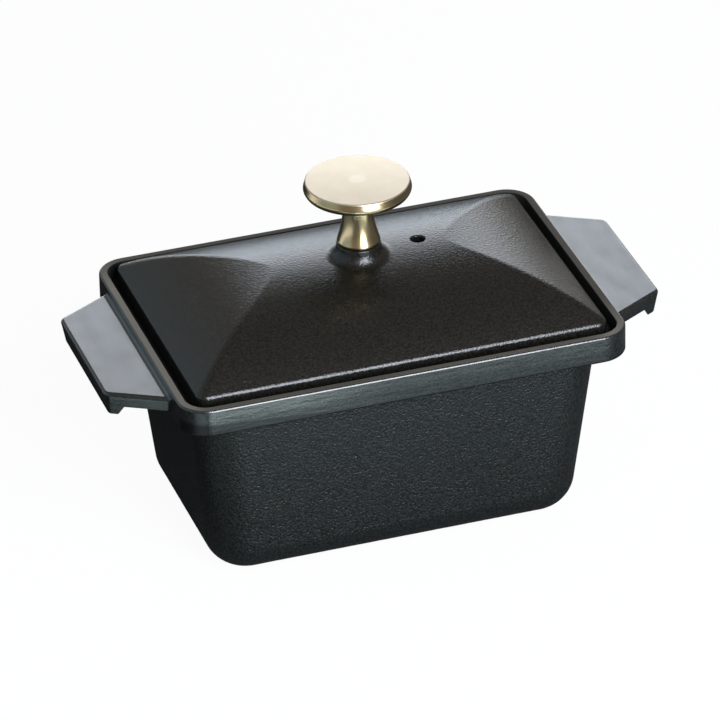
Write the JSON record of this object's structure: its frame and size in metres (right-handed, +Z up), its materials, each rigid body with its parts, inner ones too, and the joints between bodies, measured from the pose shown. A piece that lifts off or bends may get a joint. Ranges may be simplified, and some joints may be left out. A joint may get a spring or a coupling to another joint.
{
  "type": "terrine dish",
  "caption": "Small deep rectangular terrine dish in cast iron, with lug handles, a hipped lid set into its rim and a turned brass knob.",
  "frame": {"origin": "centre of the flat foot, on the table", "axes": "+X along the long side, through both lug handles and towards the vent; +Y across; +Z up through the knob"},
  "size_m": [0.2, 0.111, 0.1244],
  "materials": {
    "dish_enamel": "matt black enamel with a fine pebble, on cast iron",
    "lid_enamel": "matt black enamel with a fine pebble, on cast iron",
    "knob_brass": "satin turned brass",
    "screw_steel": "zinc plated steel"
  },
  "bodies": {
    "root": {"dish": "dish_enamel", "lid": "lid_enamel", "knob": "knob_brass", "knob_screw": "screw_steel"}
  },
  "joints": []
}
